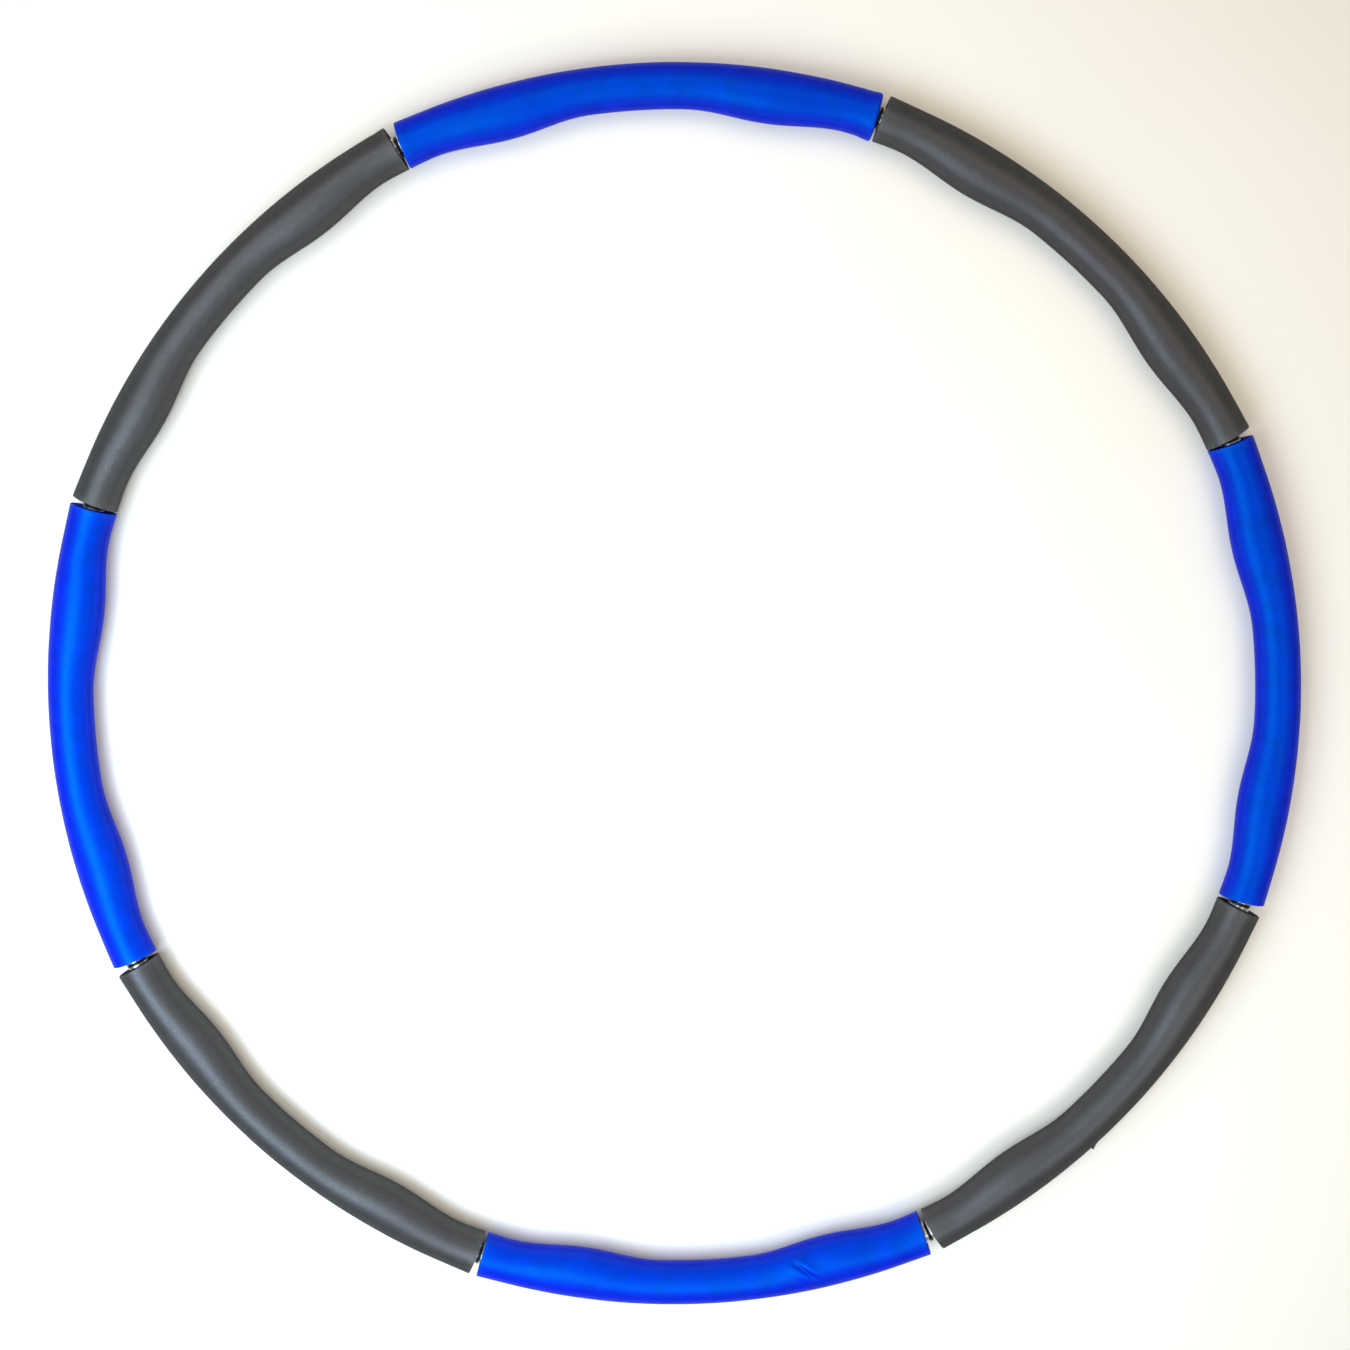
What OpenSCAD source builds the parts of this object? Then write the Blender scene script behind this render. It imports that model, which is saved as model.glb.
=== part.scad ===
// Sectional foam-covered hoop. It lies flat: the hoop's axis is Z and its centre is the origin.
// Eight curved sections plug together. Section 1 is centred on +Y and the others follow it
// counter-clockwise. Each section is a bent steel tube in a foam sleeve. A nylon coupler is
// pinned in the tube's leading end, and its spigot slides into the next tube, where the button
// of a spring leaf snaps out through a hole. Every size is in millimetres.

/* [Hoop] */
// Radius of the tube's centreline at the middle of a section
ring_r = 480.6; // [380:1:520]
// Radius that each tube is bent to, a little more than the hoop's own
bend_r = 517; // [505:1:560]
// Number of sections
sections = 8; // [8]

/* [Foam sleeve] */
// Outer diameter of the foam
foam_d = 35; // [32:0.5:42]
// Extra foam radius at a sleeve's ends
end_flare = 0.7; // [0:0.1:1.5]
// Length over which the ends flare
flare_length = 30; // [15:1:50]
// Height of a wave crest on the inner side
wave_h = 6; // [0:0.5:9]
// Angle from a section's middle to each crest
wave_at = 11.4; // [8:0.1:12]
// Angle from a crest to the foot of its wave
wave_half = 7.3; // [5:0.1:8]
// Distance from the joint plane to a sleeve's end face, on the centreline
foam_gap = 2.5; // [1.5:0.1:4]
// Tilt of each end face, which opens the gap outwards
end_tilt = 3.2; // [0:0.1:5]
// Diameter of the finger hole over the button
finger_d = 12; // [10:0.5:14]

/* [Core tube] */
// Outer diameter of the tube
tube_d = 17; // [16:0.1:18]
// Wall of the tube
tube_wall = 0.8; // [0.6:0.05:0.9]

/* [Coupler] */
// Depth of the coupler's seat in its own tube
seat_length = 30; // [26:1:36]
// Width of the collar between two tubes
collar_width = 2; // [1.5:0.5:4]
// Length of the spigot beyond the joint plane
spigot_length = 30; // [26:1:32]
// Diameter of the spigot
spigot_d = 13.6; // [13:0.1:13.6]
// Diameter of the channel that holds the leaf
channel_d = 10; // [9.8:0.1:10.4]

/* [Latch] */
// Diameter of the button
button_d = 6; // [5:0.5:6.5]
// Distance of the button past the joint plane
button_at = 13; // [11:0.5:16]
// Distance of the leaf's pin behind the joint plane
pin_at = 14; // [12:0.5:16]
// Diameter of the pin
pin_d = 2.5; // [2:0.1:2.8]
// Thickness of the leaf
leaf_t = 0.6; // [0.5:0.05:0.8]
// Width of the leaf
leaf_w = 6; // [5:0.5:6]

/* [Hidden] */
$fn = 48;
bend_fn = 360;
foam_sides = 18;
foam_rings = 40;
eps = 0.01;

pitch = 360 / sections;
half_pitch = pitch / 2;
// The bend's centre lies this far behind the hoop's centre, as seen from the section.
bend_back = bend_r - ring_r;
// Half-angle of a section about its bend's centre, and the hoop's radius at a joint
joint_a = half_pitch - asin(bend_back * sin(half_pitch) / bend_r);
joint_r = sqrt(bend_r ^ 2 - (bend_back * sin(half_pitch)) ^ 2) - bend_back * cos(half_pitch);

// Degrees that a length along the bend takes up
function arc_deg(length) = length / bend_r * 180 / PI;

tube_r = tube_d / 2;
bore_r = tube_r - tube_wall;
foam_bore_clearance = 0.1;
foam_bore_r = tube_r + foam_bore_clearance;
foam_end_a = joint_a - arc_deg(foam_gap);
// The tube stops short of the collar: less at the end that holds the coupler.
coupler_end_gap = 0.3;
socket_end_gap = 0.5;
coupler_end_a = joint_a - arc_deg(collar_width / 2 + coupler_end_gap);
socket_end_a = joint_a - arc_deg(collar_width / 2 + socket_end_gap);

seat_clearance = 0.1;
seat_r = bore_r - seat_clearance;
collar_inset = 0.1;
collar_r = tube_r - collar_inset;
// The spigot is straight and the bores curve away inwards from the joint, so it is set inwards.
spigot_in = 0.8;
spigot_tip = 2;
spigot_taper = 0.8;
channel_back = 21;
channel_past = 1;

pin_r = pin_d / 2;
pin_hole_r = pin_r + 0.05;
pin_inset = 0.15;
pin_length = 2 * (tube_r - pin_inset);
// The leaf's eye is a running fit on the pin.
eye_hole_r = pin_r + 0.07;
eye_r = eye_hole_r + leaf_t;
// Height of the leaf's upper face above the joint's axis, and its end beyond the button
leaf_top = 2.5;
leaf_past_button = 4;
pin_x = leaf_top - eye_r;
// Tip of the leaf's tail, where it meets its stop inside the channel
tail = [-4.2, -20];
button_clearance = 0.65;
button_hole_r = button_d / 2 + button_clearance;
// The button's tip stands just proud of the tube, under the foam's skin.
button_top = 9.2;
dome_h = 1.2;
dome_r = ((button_d / 2) ^ 2 + dome_h ^ 2) / (2 * dome_h);

blue = [0.02, 0.26, 0.90];
grey = [0.38, 0.40, 0.43];
black = [0.07, 0.07, 0.08];
steel = [0.75, 0.76, 0.78];
spring_steel = [0.62, 0.62, 0.60];

// ---- Places ----

// Turns a section drawn about +X to its own place: section 1 is centred on +Y.
module place(k) rotate(90 + pitch * (k - 1)) children();

// A frame at a section's leading (+1) or trailing (-1) joint: X outwards, Y along the joint's axis
module at_joint(end) rotate(end * half_pitch) translate([joint_r, 0, 0]) children();

// A round bar or tube along the section's bend, from angle a0 to angle a1 about the bend's centre
module along_bend(a0, a1)
    translate([-bend_back, 0, 0]) rotate(a0)
        rotate_extrude(angle = a1 - a0, $fn = bend_fn) translate([bend_r, 0]) children();

// ---- Foam sleeve ----

// Height of the wave crests at angle a from the section's middle: two raised cosines
function wave(a) =
    abs(abs(a) - wave_at) < wave_half
        ? wave_h * (1 + cos(180 * (abs(a) - wave_at) / wave_half)) / 2
        : 0;

// Extra radius near the ends, growing as the square of the distance into the flared length
function flare(a) =
    end_flare * max(0, 1 - (foam_end_a - abs(a)) / arc_deg(flare_length)) ^ 2;

// How much of the wave reaches angle s around the sleeve: all of it on the inner side (s = 180)
function inner_share(s) = ((1 - cos(s)) / 2) ^ 2;

function foam_radius(a, s) = foam_d / 2 + flare(a) + wave(a) * inner_share(s);

// A point of the sleeve's skin. Each ring lies in a plane that leans over towards the ends.
function foam_point(a, s) =
    let (
        out = foam_radius(a, s) * cos(s),
        lean = a - end_tilt * a / foam_end_a
    )
    [
        bend_r * cos(a) - bend_back + out * cos(lean),
        bend_r * sin(a) + out * sin(lean),
        foam_radius(a, s) * sin(s)
    ];

function ring_angle(i) = foam_end_a * (2 * i / (foam_rings - 1) - 1);

module foam_body() {
    points = [
        for (i = [0 : foam_rings - 1])
            for (j = [0 : foam_sides - 1])
                foam_point(ring_angle(i), 360 * j / foam_sides)
    ];
    sides = [
        for (i = [0 : foam_rings - 2])
            for (j = [0 : foam_sides - 1])
                let (
                    next = (j + 1) % foam_sides,
                    a = i * foam_sides,
                    b = a + foam_sides
                )
                [a + j, a + next, b + next, b + j]
    ];
    trailing_cap = [[for (j = [foam_sides - 1 : -1 : 0]) j]];
    leading_cap = [[for (j = [0 : foam_sides - 1]) (foam_rings - 1) * foam_sides + j]];
    polyhedron(points, concat(sides, trailing_cap, leading_cap), convexity = 6);
}

module foam_sleeve(k)
    color(k % 2 == 1 ? blue : grey)
        place(k) difference() {
            foam_body();
            along_bend(-joint_a, joint_a) circle(foam_bore_r);
            at_joint(-1) translate([0, button_at, 0]) rotate([0, 90, 0])
                cylinder(d = finger_d, h = foam_d);
        }

// ---- Core tube ----

module core_tube(k)
    color(steel)
        place(k) difference() {
            along_bend(-socket_end_a, coupler_end_a) difference() {
                circle(tube_r);
                circle(bore_r);
            }
            at_joint(-1) translate([0, button_at, 0]) rotate([0, 90, 0])
                cylinder(r = button_hole_r, h = tube_d);
            at_joint(1) translate([pin_x, -pin_at, 0])
                cylinder(r = pin_hole_r, h = 2 * tube_d, center = true);
        }

// ---- Coupler ----

module coupler_plug(k)
    color(black)
        place(k) difference() {
            union() {
                along_bend(joint_a - arc_deg(seat_length), joint_a) circle(seat_r);
                at_joint(1) rotate([-90, 0, 0]) translate([0, 0, -collar_width / 2])
                    cylinder(r = collar_r, h = collar_width);
                at_joint(1) translate([-spigot_in, 0, 0]) rotate([-90, 0, 0]) {
                    cylinder(d = spigot_d, h = spigot_length - spigot_tip);
                    translate([0, 0, spigot_length - spigot_tip])
                        cylinder(r1 = spigot_d / 2, r2 = spigot_d / 2 - spigot_taper, h = spigot_tip);
                }
            }
            at_joint(1) {
                translate([-spigot_in, -channel_back, 0]) rotate([-90, 0, 0])
                    cylinder(d = channel_d, h = channel_back + spigot_length + channel_past);
                translate([0, button_at, 0]) rotate([0, 90, 0])
                    cylinder(r = button_hole_r, h = tube_d);
                translate([pin_x, -pin_at, 0])
                    cylinder(r = pin_hole_r, h = 2 * tube_d, center = true);
            }
        }

module cross_pin(k)
    color(steel)
        place(k) at_joint(1) translate([pin_x, -pin_at, 0])
            cylinder(r = pin_r, h = pin_length, center = true);

// ---- Snap leaf ----

// The strip seen from above: an eye round the pin, a leg forwards and a tail back to its stop
module leaf_outline()
    difference() {
        union() {
            translate([pin_x, -pin_at]) circle(eye_r);
            translate([leaf_top - leaf_t, -pin_at])
                square([leaf_t, pin_at + button_at + leaf_past_button]);
            polygon([
                [pin_x - eye_r + leaf_t, -pin_at],
                [tail[0] + leaf_t, tail[1]],
                tail,
                [pin_x - eye_r, -pin_at]
            ]);
        }
        translate([pin_x, -pin_at]) circle(eye_hole_r);
    }

// The button, standing on the leaf, with a domed tip
module button() {
    foot = leaf_top - leaf_t / 2;
    shoulder = button_top - dome_h;
    translate([0, 0, foot]) cylinder(d = button_d, h = shoulder - foot);
    intersection() {
        translate([0, 0, button_top - dome_r]) sphere(dome_r);
        translate([0, 0, shoulder - eps]) cylinder(d = button_d, h = dome_h + eps);
    }
}

module snap_leaf(k)
    color(spring_steel)
        place(k) at_joint(1) {
            linear_extrude(height = leaf_w, center = true) leaf_outline();
            translate([0, button_at, 0]) rotate([0, 90, 0]) button();
        }

foam_sleeve(1);  // foam_sleeve_1
foam_sleeve(2);  // foam_sleeve_2
foam_sleeve(3);  // foam_sleeve_3
foam_sleeve(4);  // foam_sleeve_4
foam_sleeve(5);  // foam_sleeve_5
foam_sleeve(6);  // foam_sleeve_6
foam_sleeve(7);  // foam_sleeve_7
foam_sleeve(8);  // foam_sleeve_8
core_tube(1);  // core_tube_1
core_tube(2);  // core_tube_2
core_tube(3);  // core_tube_3
core_tube(4);  // core_tube_4
core_tube(5);  // core_tube_5
core_tube(6);  // core_tube_6
core_tube(7);  // core_tube_7
core_tube(8);  // core_tube_8
coupler_plug(1);  // coupler_plug_1
coupler_plug(2);  // coupler_plug_2
coupler_plug(3);  // coupler_plug_3
coupler_plug(4);  // coupler_plug_4
coupler_plug(5);  // coupler_plug_5
coupler_plug(6);  // coupler_plug_6
coupler_plug(7);  // coupler_plug_7
coupler_plug(8);  // coupler_plug_8
cross_pin(1);  // cross_pin_1
cross_pin(2);  // cross_pin_2
cross_pin(3);  // cross_pin_3
cross_pin(4);  // cross_pin_4
cross_pin(5);  // cross_pin_5
cross_pin(6);  // cross_pin_6
cross_pin(7);  // cross_pin_7
cross_pin(8);  // cross_pin_8
snap_leaf(1);  // snap_leaf_1
snap_leaf(2);  // snap_leaf_2
snap_leaf(3);  // snap_leaf_3
snap_leaf(4);  // snap_leaf_4
snap_leaf(5);  // snap_leaf_5
snap_leaf(6);  // snap_leaf_6
snap_leaf(7);  // snap_leaf_7
snap_leaf(8);  // snap_leaf_8
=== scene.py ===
"""Looks of the sectional foam-covered hoop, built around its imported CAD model.

The hoop lies flat on a pale floor: its axis is Z and its centre is the origin. Section 1 is centred
on +Y and the others follow it counter-clockwise. The CAD keeps the steel tubes, couplers, pins and
spring leaves; the foam sleeves are rebuilt here as fine surfaces with rounded, worn ends.
"""

import math

import bmesh
import bpy
import numpy as np
from mathutils import Matrix, Vector


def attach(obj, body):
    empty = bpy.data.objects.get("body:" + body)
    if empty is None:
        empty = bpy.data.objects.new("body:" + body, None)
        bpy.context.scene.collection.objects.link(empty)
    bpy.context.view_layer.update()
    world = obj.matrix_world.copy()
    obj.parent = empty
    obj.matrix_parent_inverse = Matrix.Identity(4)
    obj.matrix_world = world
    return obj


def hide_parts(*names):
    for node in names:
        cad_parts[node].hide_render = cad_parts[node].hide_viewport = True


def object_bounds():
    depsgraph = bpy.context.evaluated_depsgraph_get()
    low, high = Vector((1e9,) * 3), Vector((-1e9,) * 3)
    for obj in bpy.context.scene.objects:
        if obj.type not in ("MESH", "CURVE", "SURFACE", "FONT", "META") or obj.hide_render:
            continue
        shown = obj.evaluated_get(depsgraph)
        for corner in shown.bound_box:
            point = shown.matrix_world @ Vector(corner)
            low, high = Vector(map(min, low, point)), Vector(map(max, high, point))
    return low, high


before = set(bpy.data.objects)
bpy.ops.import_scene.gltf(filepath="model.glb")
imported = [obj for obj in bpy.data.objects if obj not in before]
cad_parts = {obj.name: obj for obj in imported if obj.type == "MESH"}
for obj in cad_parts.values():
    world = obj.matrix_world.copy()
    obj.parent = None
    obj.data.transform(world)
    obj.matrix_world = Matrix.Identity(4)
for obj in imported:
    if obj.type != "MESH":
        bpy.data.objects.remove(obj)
cad_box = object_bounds()

MM = 0.001

# ---- The hoop's driving dimensions, in metres and radians ----

SECTIONS = 8
RING_R = 480.6 * MM  # centreline radius at the middle of a section
BEND_R = 517 * MM  # radius that each section is bent to
FOAM_R = 17.5 * MM
BORE_R = 8.6 * MM
FLARE = 0.7 * MM  # how much the skin widens at a section's ends
FLARE_LENGTH = 30 * MM
WAVE = 6 * MM  # height of the crests on the inner side
WAVE_AT = math.radians(11.4)  # from the section's middle
WAVE_HALF = math.radians(7.3)
FOAM_GAP = 2.5 * MM  # from each joint to the foam ends in the CAD
BUTTON_AT = 13 * MM  # from the joint into the next section
FINGER_R = 6 * MM
FINGER_FLARE_DEPTH = 2.2 * MM
FINGER_FLARE = 0.12 / MM

PITCH = 2 * math.pi / SECTIONS
BACK = BEND_R - RING_R  # the bend's centre lies this far behind the hoop's
JOINT_A = PITCH / 2 - math.asin(BACK * math.sin(PITCH / 2) / BEND_R)
JOINT_R = math.sqrt(BEND_R**2 - (BACK * math.sin(PITCH / 2)) ** 2) - BACK * math.cos(PITCH / 2)
END_A = JOINT_A - FOAM_GAP / BEND_R

# The eight gaps differ a little, so each joint has its own measured and rounded values. Joint n is at
# section n's leading end: the gap across its middle, and how far both foam ends there lean away.
JOINT_GAPS = np.array([5.2, 4.2, 5.8, 4.4, 7.6, 6.8, 4.2, 3.6]) * MM
JOINT_TILTS = np.radians([4.0, 1.5, 2.1, 1.4, 4.6, 3.8, 3.4, 1.4])

CORNER_LEAST, CORNER_MOST = 0.4, 0.8  # radius of a sleeve's outer end corners, in millimetres
SOFT_CORNER = 2.4 * MM  # the worn trailing corner of section 1
RIM_CORNER = 0.5 * MM

# Marks of use. AT is the angle along the section from its middle, and S the angle round the sleeve.
CREASE_AT, CREASE_S, CREASE_TURN = math.radians(9.2), math.radians(107), math.radians(43)
CREASE_DEPTH, CREASE_WIDTH, CREASE_LENGTH = 1.3 * MM, 1.6 * MM, 11 * MM
SWELLING, SWELLING_OFF, SWELLING_WIDTH = 0.8 * MM, 4 * MM, 3.5 * MM
TEAR_AT, TEAR_S = math.radians(-4.6), math.radians(21)
FLAP_HEIGHT, FLAP_LENGTH, FLAP_TIP, FLAP_SPREAD = 2.4 * MM, 8 * MM, 0.3 * MM, 0.2
LIP_HEIGHT, LIP_LENGTH = 0.9 * MM, 10 * MM

# How deep below the skin the foam counts as cut open, and how far in from an end it is rubbed
CUT_FROM, CUT_BLEND = 0.9 * MM, 0.6 * MM
RUBBED_REACH = 3.5 * MM

# How finely the sleeves are made: points round a ring, and rings along each part of the outline
AROUND = 120
SKIN_RINGS, BORE_RINGS, FACE_RINGS, CORNER_RINGS = 340, 100, 10, 8
CLOSE_RINGS, CLOSE_REACH = 81, 10 * MM  # extra rings on either side of a crease or tear
CUTTER_ROWS, CUTTER_STEPS = 24, 72
MERGE = 0.001 * MM

# ---- Colours of the materials, and the tint of each foam's gloss ----

BLUE, BLUE_RUBBED, BLUE_GLOSS = (0.0003, 0.013, 0.49), (0.004, 0.10, 0.70), (0.0, 0.75, 1.0)
GREY, GREY_RUBBED, GREY_GLOSS = (0.0275, 0.0265, 0.0265), (0.12, 0.125, 0.13), (1.0, 1.0, 1.0)
NYLON, NYLON_RUBBED = (0.005, 0.005, 0.0055), (0.03, 0.03, 0.031)
TUBE_STEEL, PIN_STEEL, SPRING_STEEL = (0.74, 0.75, 0.76), (0.55, 0.56, 0.58), (0.74, 0.73, 0.70)
FLOOR_SHADE, FLOOR_PAINT = (0.93, 0.875, 0.765), (0.95, 0.9, 0.795)


# ---- Mesh helpers ----


def mesh_object(name, points, faces):
    """A mesh object at the origin from arrays of points and of four-cornered faces."""
    mesh = bpy.data.meshes.new(name)
    mesh.vertices.add(len(points))
    mesh.vertices.foreach_set("co", np.ascontiguousarray(points, np.float32).ravel())
    mesh.loops.add(faces.size)
    mesh.loops.foreach_set("vertex_index", faces.astype(np.int32).ravel())
    mesh.polygons.add(len(faces))
    mesh.polygons.foreach_set("loop_start", np.arange(0, faces.size, 4, dtype=np.int32))
    mesh.polygons.foreach_set("use_smooth", np.ones(len(faces), bool))
    mesh.update(calc_edges=True)
    mesh.validate()
    obj = bpy.data.objects.new(name, mesh)
    bpy.context.scene.collection.objects.link(obj)
    return obj


def grid_faces(rows, columns, ends_meet):
    """Faces of a grid of rows by columns points, whose last column joins its first one.

    Where its ends meet, the last row joins the first one too.
    """
    i, j = np.meshgrid(np.arange(rows if ends_meet else rows - 1), np.arange(columns), indexing="ij")
    i2, j2 = (i + 1) % rows, (j + 1) % columns
    corners = [i * columns + j, i * columns + j2, i2 * columns + j2, i2 * columns + j]
    return np.stack([c.ravel() for c in corners], axis=1)


def points_of(obj):
    """The object's mesh points, as an array of rows."""
    flat = np.empty(len(obj.data.vertices) * 3, np.float32)
    obj.data.vertices.foreach_get("co", flat)
    return flat.reshape(-1, 3).astype(float)


def set_attribute(obj, name, values):
    """Stores one number per point under that name, for the materials to read."""
    layer = obj.data.attributes.new(name, "FLOAT", "POINT")
    layer.data.foreach_set("value", np.ascontiguousarray(values, np.float32))


# ---- Foam sleeves ----


def wave(a):
    """Height of the wave at angle a from the section's middle: two raised cosines, at +-WAVE_AT."""
    off = np.abs(np.abs(a) - WAVE_AT) / WAVE_HALF
    return np.where(off < 1, WAVE * (1 + np.cos(np.pi * np.minimum(off, 1))) / 2, 0)


def skin_radius(a, s):
    """Radius of the sleeve at angle a along the bend and s around it.

    It is the foam's own radius, plus a flare that grows as the square of the way into the last
    stretch, plus the wave times ((1 - cos s) / 2) squared, which is all of it on the inner side.
    """
    flare = FLARE * np.clip(1 - (END_A - np.abs(a)) * BEND_R / FLARE_LENGTH, 0, 1) ** 2
    return FOAM_R + flare + wave(a) * ((1 - np.cos(s)) / 2) ** 2


def sleeve_point(a, s, radius, tilts):
    """The point at that radius from the centreline, on a ring plane that leans over near the ends.

    The lean grows as the cube of the way to an end, up to that end's tilt. tilts holds the tilt of
    the trailing end, then that of the leading end.
    """
    lean = a - np.where(a < 0, tilts[0], tilts[1]) * (a / END_A) ** 3
    out = radius * np.cos(s)
    x = BEND_R * np.cos(a) - BACK + out * np.cos(lean)
    y = BEND_R * np.sin(a) + out * np.sin(lean)
    return np.stack([x, y, radius * np.sin(s)], axis=-1)


def unevenness(a, s, random):
    """Soft hand-sized hollows of moulded foam: a sum of slow waves along and around the sleeve.

    Each is a sine of so many times the angle along, times a cosine of so many times the angle round,
    with phases drawn at random. A wave's height falls as the square root of the first number.
    """
    height = 0.1 * MM
    total = np.zeros(np.broadcast(a, s).shape)
    for along in (24, 44, 76, 124):
        for around in (1, 2, 3):
            phase = random.uniform(0, 2 * np.pi, 2)
            total += np.sin(along * a + phase[0]) * np.cos(around * s + phase[1]) / along**0.5
    return height * total


def bell(distance, width):
    """e to the minus square of distance over width: 1 in the middle, fading smoothly to both sides."""
    return np.exp(-((distance / width) ** 2))


def crease(a, s):
    """A short diagonal crease on the front of the skin, with the foam pushed up on both sides.

    It is a narrow bell-shaped hollow across a line at CREASE_TURN to the tube, with a fairly even
    depth up to its ends, less two wider bells that stand beside it and fade along it.
    """
    along = (a - CREASE_AT) * BEND_R
    outward = (CREASE_S - s) * FOAM_R
    lengthwise = along * math.cos(CREASE_TURN) + outward * math.sin(CREASE_TURN)
    across = outward * math.cos(CREASE_TURN) - along * math.sin(CREASE_TURN)
    even = np.exp(-((lengthwise / CREASE_LENGTH) ** 4))
    hollow = CREASE_DEPTH * bell(across, CREASE_WIDTH) * even
    beside = bell(np.abs(across) - SWELLING_OFF, SWELLING_WIDTH)
    return SWELLING * beside * bell(lengthwise, CREASE_LENGTH) - hollow


def torn_flap(a, s):
    """A small tongue of skin torn loose on the outer side: it rises to its tip and stops short.

    Its height is the square of what is left of its length, cut off steeply at the tip, times a bell
    round the sleeve.
    """
    along = (a - TEAR_AT) * BEND_R
    rise = np.clip(1 - along / FLAP_LENGTH, 0, 1) ** 2 * np.clip(along / FLAP_TIP, 0, 1)
    return FLAP_HEIGHT * rise * bell(s - TEAR_S, FLAP_SPREAD)


def turned_lip(a, s):
    """The last centimetre of the trailing end, turned up a little on the inner side.

    Its height is the square root of the way into that centimetre, times the cube of (1 - cos s) / 2.
    """
    into = np.clip((-a - END_A) * BEND_R / LIP_LENGTH + 1, 0, 1)
    return LIP_HEIGHT * into**0.5 * ((1 - np.cos(s)) / 2) ** 3


# The marked sections: each one's mark, and the angle along it where the rings lie closer together
MARKS = {1: (turned_lip, None), 5: (crease, CREASE_AT), 6: (torn_flap, TEAR_AT)}


def end_profile(end_a, corner, rim):
    """One end of the sleeve's lengthwise outline, as angles and as shares of the wall's thickness.

    It turns round the outer corner, goes down the end face and turns round the rim of the bore.
    Share 1 is the skin and share 0 the bore.
    """
    wall = FOAM_R + FLARE - BORE_R
    turn = np.linspace(0, np.pi / 2, CORNER_RINGS)
    skin_a = end_a - corner / BEND_R * (1 - np.sin(turn))
    skin_f = 1 - corner / wall * (1 - np.cos(turn))
    rim_a = end_a - rim / BEND_R * (1 - np.cos(turn))
    rim_f = rim / wall * (1 - np.sin(turn))
    face_f = np.linspace(skin_f[-1], rim_f[0], FACE_RINGS + 2)[1:-1]
    angles = np.concatenate([skin_a, np.full(len(face_f), end_a), rim_a])
    return angles, np.concatenate([skin_f, face_f, rim_f])


def sleeve_profile(trailing, leading, close_at):
    """The sleeve's whole lengthwise outline, once round its wall: skin, end, bore, end.

    trailing and leading are end profiles. Rings lie closer together around the angle close_at, where
    one is given.
    """
    (trail_a, trail_f), (lead_a, lead_f) = trailing, leading
    skin_a = np.linspace(-trail_a[0], lead_a[0], SKIN_RINGS + 2)[1:-1]
    if close_at is not None:
        close_a = close_at + np.linspace(-CLOSE_REACH, CLOSE_REACH, CLOSE_RINGS) / BEND_R
        skin_a = np.sort(np.concatenate([skin_a, close_a]))
    bore_a = np.linspace(lead_a[-1], -trail_a[-1], BORE_RINGS + 2)[1:-1]
    a = np.concatenate([skin_a, lead_a, bore_a, -trail_a[::-1]])
    f = np.concatenate([np.ones(len(skin_a)), lead_f, np.zeros(len(bore_a)), trail_f[::-1]])
    return a, f


def finger_cutter(section):
    """A round cutter at the section's trailing joint, whose mouth flares like a trumpet's.

    Its radius is the finger hole's, growing near the skin as the square of the height. It is turned by
    half a step, so that none of its corners meet the sleeve's own in the plane of the ring.
    """
    inside, outside = 3 * MM, 4 * MM  # how far it goes past the wall's two surfaces
    height = np.linspace(BORE_R - inside, FOAM_R + outside, CUTTER_ROWS)
    flared = np.clip(height - (FOAM_R - FINGER_FLARE_DEPTH), 0, None)
    radius = FINGER_R + FINGER_FLARE * flared**2
    turn = (np.arange(CUTTER_STEPS) + 0.5) * 2 * np.pi / CUTTER_STEPS
    h, t = np.meshgrid(height, turn, indexing="ij")
    r = np.repeat(radius[:, None], CUTTER_STEPS, axis=1)
    wall = np.stack([h, r * np.cos(t) + BUTTON_AT, r * np.sin(t)], axis=-1).reshape(-1, 3)
    wall[:, 0] += JOINT_R
    sides = grid_faces(CUTTER_ROWS, CUTTER_STEPS, ends_meet=False).tolist()
    foot = list(range(CUTTER_STEPS))[::-1]
    lid = list(range((CUTTER_ROWS - 1) * CUTTER_STEPS, CUTTER_ROWS * CUTTER_STEPS))
    mesh = bpy.data.meshes.new("cutter")
    mesh.from_pydata(wall.tolist(), [], [*sides, foot, lid])
    mesh.transform(section @ Matrix.Rotation(-PITCH / 2, 4, "Z"))
    mesh.update()
    cutter = bpy.data.objects.new("cutter", mesh)
    bpy.context.scene.collection.objects.link(cutter)
    return cutter


def cut_finger_hole(sleeve, section):
    """Takes the finger hole out of the sleeve, and merges the hair-thin slivers that this leaves."""
    cutter = finger_cutter(section)
    modifier = sleeve.modifiers.new("hole", "BOOLEAN")
    modifier.operation = "DIFFERENCE"
    modifier.solver = "EXACT"
    modifier.object = cutter
    evaluated = sleeve.evaluated_get(bpy.context.evaluated_depsgraph_get())
    mesh = bpy.data.meshes.new_from_object(evaluated)
    clean = bmesh.new()
    clean.from_mesh(mesh)
    bmesh.ops.remove_doubles(clean, verts=clean.verts, dist=MERGE)
    bmesh.ops.dissolve_degenerate(clean, edges=clean.edges, dist=MERGE)
    clean.to_mesh(mesh)
    clean.free()
    sleeve.modifiers.clear()
    sleeve.data = mesh
    bpy.data.objects.remove(cutter)


def local_places(points, section):
    """Angle along the bend, angle around, and radius from the centreline of points of a section."""
    back = np.array(section.inverted().to_3x3())
    p = points @ back.T
    a = np.arctan2(p[:, 1], p[:, 0] + BACK)
    out = np.hypot(p[:, 0] + BACK, p[:, 1]) - BEND_R
    return a, np.arctan2(p[:, 2], out), np.hypot(out, p[:, 2])


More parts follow.
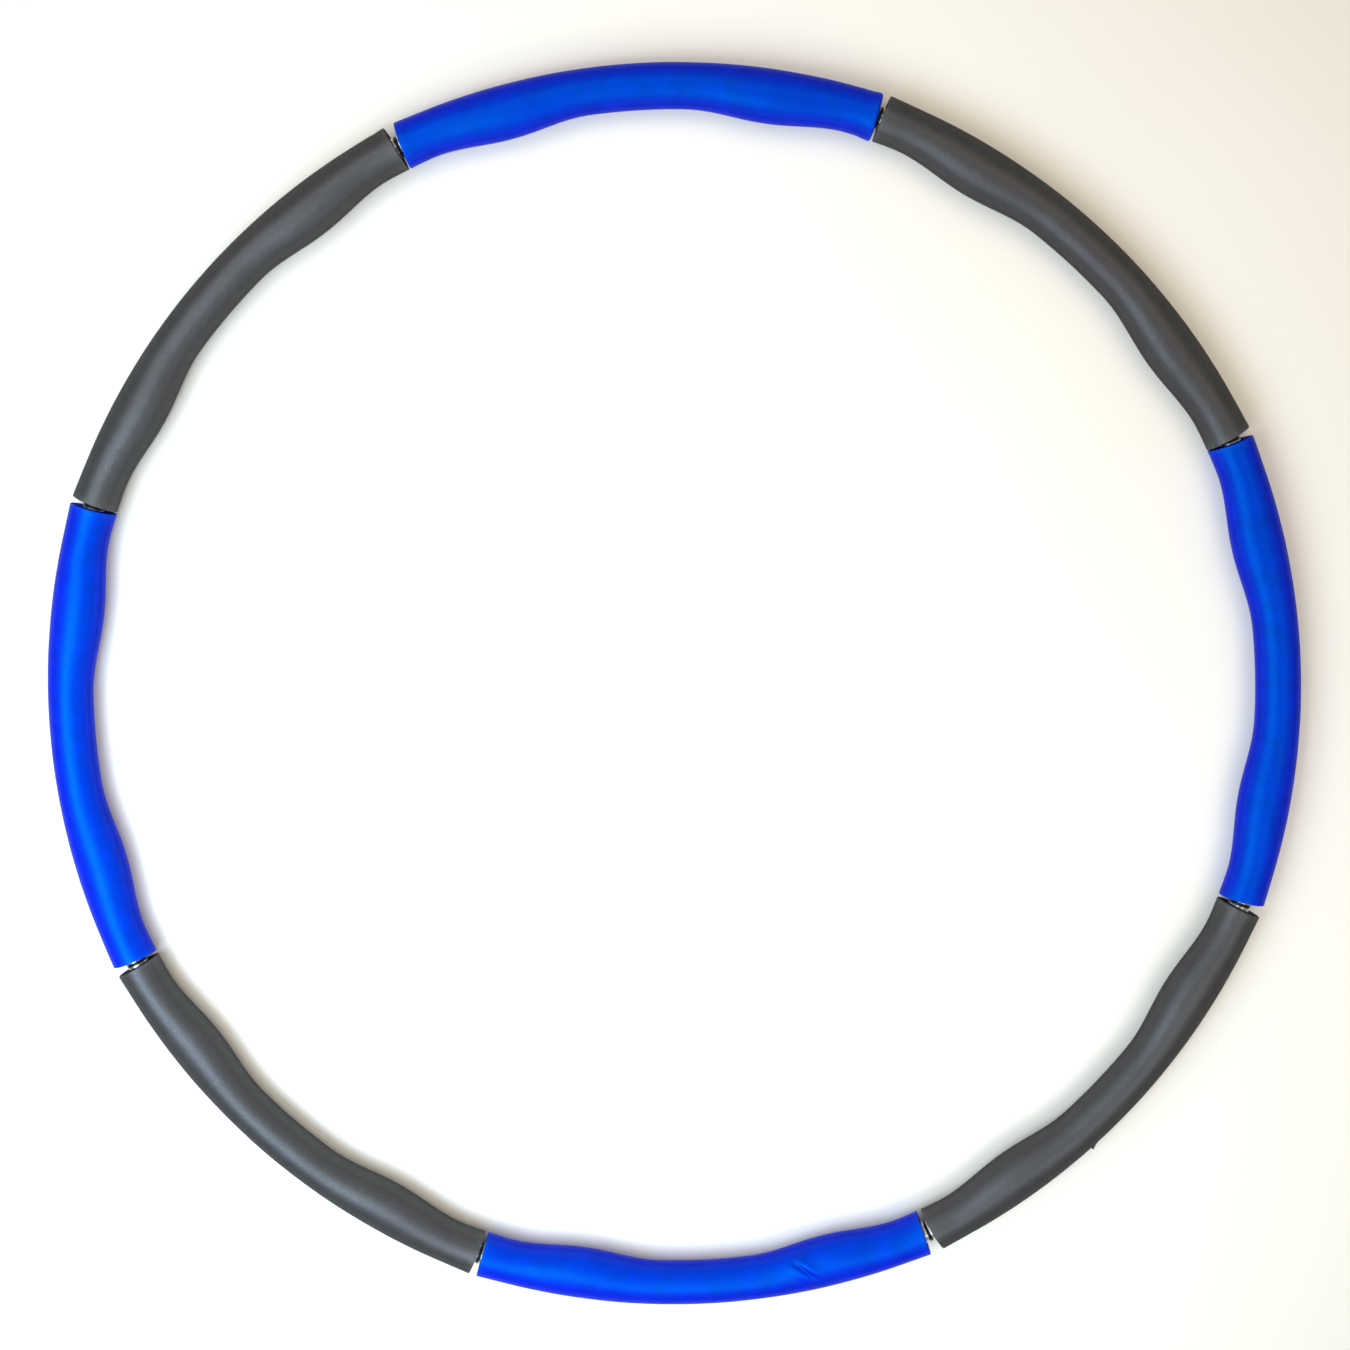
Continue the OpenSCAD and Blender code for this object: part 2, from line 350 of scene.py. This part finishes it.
def mark_wear(sleeve, section, k, random):
    """Stores where the foam is cut open, by depth below the skin, and where the skin is rubbed.

    It is rubbed near its ends, fading with distance and rippling round the sleeve, and on a torn flap.
    """
    points = points_of(sleeve)
    a, s, radius = local_places(points, section)
    depth = skin_radius(a, s) - radius
    to_end = (END_A - np.abs(a)) * BEND_R
    cut = np.clip((depth - CUT_FROM) / CUT_BLEND, 0, 1)
    rubbed = np.exp(-np.clip(to_end, 0, None) / RUBBED_REACH)
    ripple = 0.5 + 0.5 * np.sin(5 * s + random.uniform(0, 6)) * np.cos(11 * s + random.uniform(0, 6))
    wear = rubbed * (0.4 + 0.6 * ripple)
    if k in MARKS and MARKS[k][0] is torn_flap:
        past_tip, rubbed_length, rubbed_spread = 1.2 * MM, 1.4 * MM, 0.14
        along = (a - TEAR_AT) * BEND_R - past_tip
        torn = bell(along, rubbed_length) * bell(s - TEAR_S, rubbed_spread)
        wear = np.maximum(wear, 2 * torn)
    # cut marks the cut faces, which the foam material paints darker as shade
    set_attribute(sleeve, "cut", cut)
    set_attribute(sleeve, "wear", wear)


def foam_sleeve(k, section, random):
    """One sleeve: the skin, rounded ends and bore as one closed surface, with its finger hole."""
    corners = random.uniform(CORNER_LEAST, CORNER_MOST, 2) * MM
    if k == 1:
        corners[0] = SOFT_CORNER
    joints = [(k - 2) % SECTIONS, k - 1]  # places of the trailing and the leading joint in the lists
    ends = JOINT_A - JOINT_GAPS[joints] / 2 / BEND_R
    profiles = [end_profile(end, corner, RIM_CORNER) for end, corner in zip(ends, corners)]
    mark, mark_at = MARKS.get(k, (None, None))
    profile_a, profile_f = sleeve_profile(*profiles, mark_at)
    around = np.linspace(0, 2 * np.pi, AROUND, endpoint=False)
    a, s = np.meshgrid(profile_a, around, indexing="ij")
    f = np.repeat(profile_f[:, None], AROUND, axis=1)
    skin = skin_radius(a, s) + unevenness(a, s, random)
    if mark:
        skin = skin + mark(a, s)
    points = sleeve_point(a, s, BORE_R + (skin - BORE_R) * f, JOINT_TILTS[joints])
    faces = grid_faces(len(profile_a), AROUND, ends_meet=True)
    sleeve = mesh_object(f"foam_{k}", points.reshape(-1, 3), faces[:, ::-1])
    sleeve.data.transform(section)
    cut_finger_hole(sleeve, section)
    mark_wear(sleeve, section, k, random)
    sleeve.data.set_sharp_from_angle(angle=math.radians(50))
    return sleeve


# ---- Materials ----


class Nodes:
    """Short hand for building one material's node tree."""

    def __init__(self, name):
        """Makes the material. place is a point's position in its object's own coordinates."""
        self.material = bpy.data.materials.new(name)
        self.material.use_nodes = True
        self.tree = self.material.node_tree
        self.shader = self.tree.nodes["Principled BSDF"]
        self.place = self.add("ShaderNodeTexCoord").outputs["Object"]

    def add(self, kind, **settings):
        """A new node of that kind, with these settings."""
        node = self.tree.nodes.new(kind)
        for key, value in settings.items():
            setattr(node, key, value)
        return node

    def link(self, output, target):
        """Feeds one node's output into a socket."""
        self.tree.links.new(output, target)

    def noise(self, size, detail=3.0, roughness=0.55):
        """Noise whose blobs are about that size in metres."""
        node = self.add("ShaderNodeTexNoise")
        node.inputs["Scale"].default_value = 1 / size
        node.inputs["Detail"].default_value = detail
        node.inputs["Roughness"].default_value = roughness
        self.link(self.place, node.inputs["Vector"])
        return node.outputs["Fac"]

    def cells(self, size):
        """Distance to the middle of cells of about that size in metres."""
        node = self.add("ShaderNodeTexVoronoi", feature="SMOOTH_F1")
        node.inputs["Scale"].default_value = 1 / size
        self.link(self.place, node.inputs["Vector"])
        return node.outputs["Distance"]

    def attribute(self, name):
        """The number that the mesh stores at each point under that name."""
        return self.add("ShaderNodeAttribute", attribute_name=name).outputs["Fac"]

    def spread(self, value, low, high, to_low, to_high):
        """value taken from the range low to high to the range to_low to to_high."""
        node = self.add("ShaderNodeMapRange")
        self.link(value, node.inputs["Value"])
        ends = {"From Min": low, "From Max": high, "To Min": to_low, "To Max": to_high}
        for key, number in ends.items():
            node.inputs[key].default_value = number
        return node.outputs["Result"]

    def between(self, noise, low, high):
        """A noise, most of which lies between 0.3 and 0.7, stretched to run from low to high."""
        return self.spread(noise, 0.3, 0.7, low, high)

    def combine(self, operation, first, second):
        """A sum or product, and so on, of two values, each a number or another node's output."""
        node = self.add("ShaderNodeMath", operation=operation)
        for socket, value in zip(node.inputs, (first, second)):
            if isinstance(value, (int, float)):
                socket.default_value = value
            else:
                self.link(value, socket)
        return node.outputs[0]

    def blend(self, share, first, second):
        """A colour between two, each a colour or another node's output."""
        node = self.add("ShaderNodeMix", data_type="RGBA")
        for key, value in (("A", first), ("B", second)):
            socket = next(i for i in node.inputs if i.name == key and i.type == "RGBA")
            if isinstance(value, tuple):
                socket.default_value = (*value, 1)
            else:
                self.link(value, socket)
        self.link(share, node.inputs["Factor"])
        return next(o for o in node.outputs if o.type == "RGBA")

    def bump(self, height, distance, onto=None):
        """The normal of a surface raised by height times distance, on top of another bump if given."""
        node = self.add("ShaderNodeBump")
        node.inputs["Distance"].default_value = distance
        node.inputs["Strength"].default_value = 1
        self.link(height, node.inputs["Height"])
        if onto is not None:
            self.link(onto, node.inputs["Normal"])
        return node.outputs["Normal"]

    def set(self, **values):
        """Sets the shader's own sockets, named in small letters with underscores."""
        for socket in self.shader.inputs:
            key = socket.name.lower().replace(" ", "_")
            if key in values:
                socket.default_value = values[key]


def scaled(colour, factor):
    """The colour made paler or darker by that factor."""
    return tuple(min(1.0, c * factor) for c in colour)


def foam_material(name, colour, pale, gloss, dull_at):
    """Closed-cell foam: a pebbled, faintly mottled satin skin, and open cells where it is cut, painted
    darker as shade in the pores, on the end faces between sections, down the bore and in the finger
    hole.

    gloss tints the skin's reflection seen from straight above. The reflection fades as the skin turns
    away, and is at its least where Layer Weight's facing reaches dull_at.
    """
    n = Nodes(name)
    full_gloss, least_gloss = 0.5, 0.05
    extra_cut_roughness = 0.35
    speckle = n.noise(0.9 * MM, detail=2)
    mottle = n.noise(14 * MM, detail=4)
    skin = n.blend(n.between(mottle, 0, 1), scaled(colour, 0.86), scaled(colour, 1.12))
    skin = n.blend(n.spread(speckle, 0.6, 0.8, 0, 0.3), skin, pale)
    worn = n.combine("MULTIPLY", n.attribute("wear"), n.spread(n.noise(2 * MM), 0.35, 0.65, 0, 0.6))
    skin = n.blend(worn, skin, pale)
    # Cut faces: a pattern of open cells, with painted shade that darkens them to about half the skin's
    # colour away from each cell's middle
    across_cell = n.spread(n.cells(0.8 * MM), 0.1, 0.6, 0, 1)
    cut_cells_and_painted_shade = n.blend(across_cell, scaled(colour, 1.05), scaled(colour, 0.55))
    n.link(n.blend(n.attribute("cut"), skin, cut_cells_and_painted_shade), n.shader.inputs["Base Color"])
    rough = n.between(n.noise(1.2 * MM), 0.4, 0.52)
    rough = n.combine("ADD", rough, n.combine("MULTIPLY", n.attribute("cut"), extra_cut_roughness))
    n.link(rough, n.shader.inputs["Roughness"])
    soft = n.bump(n.noise(6 * MM, detail=2), 0.15 * MM)
    pebbled = n.bump(n.cells(1.1 * MM), 0.10 * MM, onto=soft)
    n.link(n.bump(speckle, 0.08 * MM, onto=pebbled), n.shader.inputs["Normal"])
    facing = n.add("ShaderNodeLayerWeight").outputs["Facing"]
    n.link(n.spread(facing, dull_at / 6, dull_at, full_gloss, least_gloss),
           n.shader.inputs["Specular IOR Level"])
    n.set(ior=1.6, specular_tint=(*gloss, 1))
    return n.material


def metal_material(name, colour, rough_low, rough_high, grain):
    """Bare steel: fine scratches about grain long, which also vary the gloss, and a few dark smudges."""
    n = Nodes(name)
    smudge = n.noise(4 * MM, detail=4)
    n.link(n.blend(n.spread(smudge, 0.35, 0.7, 0, 1), colour, scaled(colour, 0.72)),
           n.shader.inputs["Base Color"])
    scratch = n.noise(grain, detail=3, roughness=0.7)
    n.link(n.between(scratch, rough_low, rough_high), n.shader.inputs["Roughness"])
    n.link(n.bump(scratch, 0.02 * MM), n.shader.inputs["Normal"])
    n.set(metallic=1.0)
    return n.material


def nylon_material():
    """Moulded black nylon: spark-eroded grain, paler where the tubes have rubbed it."""
    n = Nodes("black nylon")
    rub = n.noise(3 * MM, detail=5, roughness=0.65)
    n.link(n.blend(n.spread(rub, 0.55, 0.75, 0, 0.5), NYLON, NYLON_RUBBED),
           n.shader.inputs["Base Color"])
    grain = n.noise(0.35 * MM, detail=2)
    n.link(n.between(grain, 0.34, 0.52), n.shader.inputs["Roughness"])
    n.link(n.bump(grain, 0.03 * MM), n.shader.inputs["Normal"])
    n.set(specular_ior_level=0.25)
    return n.material


def floor_material():
    """A pale painted floor with a barely visible roller texture."""
    n = Nodes("pale floor")
    cloud = n.noise(0.5, detail=3)
    n.link(n.blend(n.between(cloud, 0, 1), FLOOR_SHADE, FLOOR_PAINT), n.shader.inputs["Base Color"])
    n.link(n.bump(n.noise(5 * MM, detail=3), 0.15 * MM), n.shader.inputs["Normal"])
    n.set(roughness=0.85, specular_ior_level=0.2)
    return n.material


# ---- Stage ----


def aim(obj, place, target, up):
    """Puts a camera or light at a place, looking at a target, with its own up towards up."""
    back = (place - target).normalized()
    right = up.cross(back).normalized()
    turn = Matrix((right, back.cross(right), back)).transposed().to_4x4()
    obj.matrix_world = Matrix.Translation(place) @ turn


def make_camera():
    """Looks down the hoop's axis, a little from above it, with the hoop turned slightly."""
    distance = 1.6
    lean_x, lean_y, roll = math.radians(1.14), math.radians(7.11), math.radians(-3.3)
    target = Vector((3.7 * MM, 25 * MM, 0))
    towards = Vector((math.sin(lean_x), math.sin(lean_y), 0))
    towards.z = math.sqrt(1 - towards.length_squared)
    camera = bpy.data.objects.new("camera", bpy.data.cameras.new("camera"))
    camera.data.sensor_width = 36
    camera.data.lens = 53.66
    camera.data.clip_end = 30
    bpy.context.scene.collection.objects.link(camera)
    aim(camera, target + distance * towards, target, Vector((-math.sin(roll), math.cos(roll), 0)))
    bpy.context.scene.camera = camera


def soft_box(name, place, facing, size, power, colour, fan):
    """A round light at a place, facing a point on the floor.

    Its light fans out over an angle of fan degrees.
    """
    light = bpy.data.lights.new(name, "AREA")
    light.shape = "DISK"
    light.size = size
    light.energy = power
    light.color = colour
    light.spread = math.radians(fan)
    obj = bpy.data.objects.new(name, light)
    bpy.context.scene.collection.objects.link(obj)
    obj.visible_camera = False
    aim(obj, Vector(place), Vector(facing), Vector((0, 0, 1)))


def make_lights():
    """A cool window at the lower left, a lamp beside the camera, pale walls all round, and a dim room.

    The walls are a ring of soft boxes, one outside each section. Their power follows a cosine of the
    angle from the window's side, and their colour goes from cool there to warm on the opposite side.
    """
    soft_box("window", (-0.72, -0.38, 1.4), (-0.4, -0.22, 0),
             size=0.9, power=4.2, colour=(0.76, 1.0, 1.28), fan=100)
    soft_box("front lamp", (-0.26, 0.02, 1.4), (-0.1, 0, 0),
             size=0.22, power=1.0, colour=(1.06, 1.0, 0.93), fan=140)
    window_side = math.radians(215)
    cool, warm = np.array((0.74, 1.0, 1.26)), np.array((1.2, 1.0, 0.8))
    wall_off, wall_height, power_swing = 0.45, 1.0, 0.6
    for k in range(SECTIONS):
        turn = math.pi / 2 + PITCH * k
        near = math.cos(turn - window_side)
        out = np.array((math.cos(turn), math.sin(turn), 0))
        place = (RING_R + wall_off) * out + (0, 0, wall_height)
        soft_box(f"wall {k + 1}", place, RING_R * out, size=0.6, power=1 + power_swing * near,
                 colour=warm + (cool - warm) * (1 + near) / 2, fan=110)
    world = bpy.data.worlds.new("room")
    world.use_nodes = True
    world.node_tree.nodes["Background"].inputs["Color"].default_value = (1, 0.97, 0.91, 1)
    world.node_tree.nodes["Background"].inputs["Strength"].default_value = 0.4
    bpy.context.scene.world = world
    bpy.context.scene.view_settings.view_transform = "Standard"


def make_floor():
    """A wide floor just under the hoop."""
    half_width = 6.0
    below = 0.2 * MM
    corners = np.array([[-1, -1], [1, -1], [1, 1], [-1, 1]]) * half_width
    points = np.column_stack([corners, np.full(4, cad_box[0][2] - below)])
    floor = mesh_object("floor", points, np.array([[0, 1, 2, 3]]))
    floor.data.materials.append(floor_material())


# ---- Assembly ----


def dress_cad_nodes():
    """Gives every CAD node that stays in view its own finish."""
    finishes = {
        "core_tube": metal_material("drawn steel tube", TUBE_STEEL,
                                    rough_low=0.22, rough_high=0.42, grain=0.8 * MM),
        "coupler_plug": nylon_material(),
        "cross_pin": metal_material("pin steel", PIN_STEEL,
                                    rough_low=0.3, rough_high=0.5, grain=0.4 * MM),
        "snap_leaf": metal_material("spring steel", SPRING_STEEL,
                                    rough_low=0.14, rough_high=0.3, grain=0.5 * MM),
    }
    for name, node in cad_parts.items():
        kind = name.rsplit("_", 1)[0]
        if kind in finishes:
            node.data.materials.clear()
            node.data.materials.append(finishes[kind])


def make_sleeves():
    """Makes the eight sleeves, blue on odd sections and grey on even ones."""
    blue = foam_material("blue foam", BLUE, BLUE_RUBBED, BLUE_GLOSS, dull_at=0.35)
    grey = foam_material("grey foam", GREY, GREY_RUBBED, GREY_GLOSS, dull_at=0.6)
    for k in range(1, SECTIONS + 1):
        section = Matrix.Rotation(math.pi / 2 + PITCH * (k - 1), 4, "Z")
        sleeve = foam_sleeve(k, section, np.random.default_rng(k))
        sleeve.data.materials.append(blue if k % 2 else grey)
        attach(sleeve, f"section_{k}")
        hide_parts(f"foam_sleeve_{k}")


make_camera()
make_lights()
make_floor()
dress_cad_nodes()
make_sleeves()
